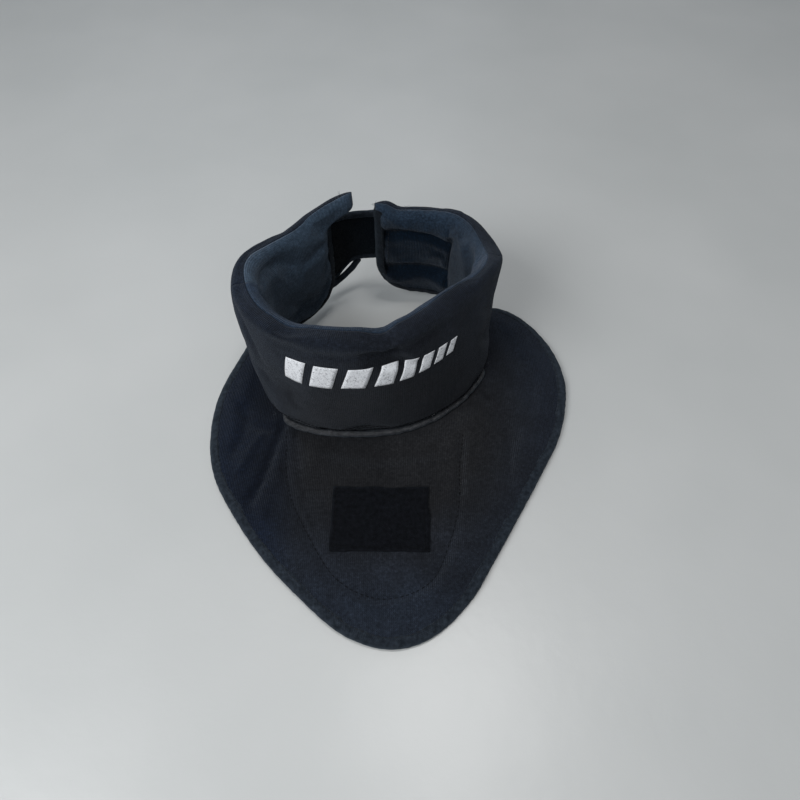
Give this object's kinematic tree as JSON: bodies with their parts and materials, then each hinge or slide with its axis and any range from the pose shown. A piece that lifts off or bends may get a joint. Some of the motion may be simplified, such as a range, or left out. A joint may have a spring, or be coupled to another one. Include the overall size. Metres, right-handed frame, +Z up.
{
  "type": "bib-style neck guard",
  "caption": "Soft padded neck guard: a foam collar with a hook-and-loop closure at the back, sewn to a flat padded bib that covers the throat and upper chest.",
  "frame": {"origin": "centre of the bounding box on the plane that the bib lies on", "axes": "+Z up out of the bib, -Y towards the bib's tip, +Y towards the closure at the back of the neck"},
  "size_m": [0.2241, 0.2559, 0.093],
  "materials": {
    "knit_cover": "black knitted cover fabric",
    "inner_lining": "brushed black lining",
    "foam": "grey closed-cell foam",
    "cut_liner": "woven cut-resistant liner",
    "binding_tape": "black woven edge binding",
    "piping_tape": "satin tape along the collar seam",
    "loop_tape": "black loop tape",
    "hook_tape": "black hook tape",
    "thread": "black sewing thread",
    "white_print": "white screen print"
  },
  "bodies": {
    "collar_and_yoke": {"collar_front_cover": "knit_cover", "collar_front_lining": "inner_lining", "collar_front_foam": "foam", "collar_front_cut_liner": "cut_liner", "collar_seam_piping": "piping_tape", "front_mark": "white_print", "bib_yoke_cover": "knit_cover", "bib_yoke_foam": "foam", "bib_yoke_backing": "inner_lining", "bib_yoke_binding": "binding_tape"},
    "left_wing": {"left_wing_cover": "knit_cover", "left_wing_lining": "inner_lining", "left_wing_foam": "foam", "left_wing_cut_liner": "cut_liner", "left_wing_binding": "binding_tape", "tab_anchor": "knit_cover", "tab_anchor_stitching": "thread"},
    "closure_tab": {"closure_tab_back": "knit_cover", "closure_tab_hooks": "hook_tape", "closure_tab_binding": "binding_tape"},
    "right_wing": {"right_wing_cover": "knit_cover", "right_wing_lining": "inner_lining", "right_wing_foam": "foam", "right_wing_cut_liner": "cut_liner", "right_wing_binding": "binding_tape", "right_loop_patch": "loop_tape", "right_patch_stitching": "thread"},
    "bib_flap": {"bib_flap_cover": "knit_cover", "bib_flap_foam": "foam", "bib_flap_backing": "inner_lining", "bib_flap_binding": "binding_tape", "bib_center_pad": "foam", "bib_loop_patch": "loop_tape", "bib_patch_stitching": "thread"}
  },
  "joints": [
    {"name": "left_wing_open", "type": "hinge", "parent": "collar_and_yoke", "child": "left_wing", "pos_m": [-0.08421, 0.0389, 0.045], "axis": [0, 0, 1], "range_deg": [0, 35], "stiffness_Nm_per_rad": 0.06},
    {"name": "right_wing_open", "type": "hinge", "parent": "collar_and_yoke", "child": "right_wing", "pos_m": [0.06253, 0.06739, 0.045], "axis": [0, 0, 1], "range_deg": [-35, 0], "stiffness_Nm_per_rad": 0.06},
    {"name": "closure_tab_peel", "type": "hinge", "parent": "left_wing", "child": "closure_tab", "pos_m": [-0.04205, 0.11843, 0.052], "axis": [0, 0, 1], "range_deg": [0, 110]},
    {"name": "bib_flap_bend", "type": "hinge", "parent": "collar_and_yoke", "child": "bib_flap", "pos_m": [0, -0.018, 0.003], "axis": [1, 0, 0], "range_deg": [-60, 60], "stiffness_Nm_per_rad": 0.08}
  ],
  "couplings": [
    {"joint": "right_wing_open", "follows": "left_wing_open", "ratio": -1}
  ]
}
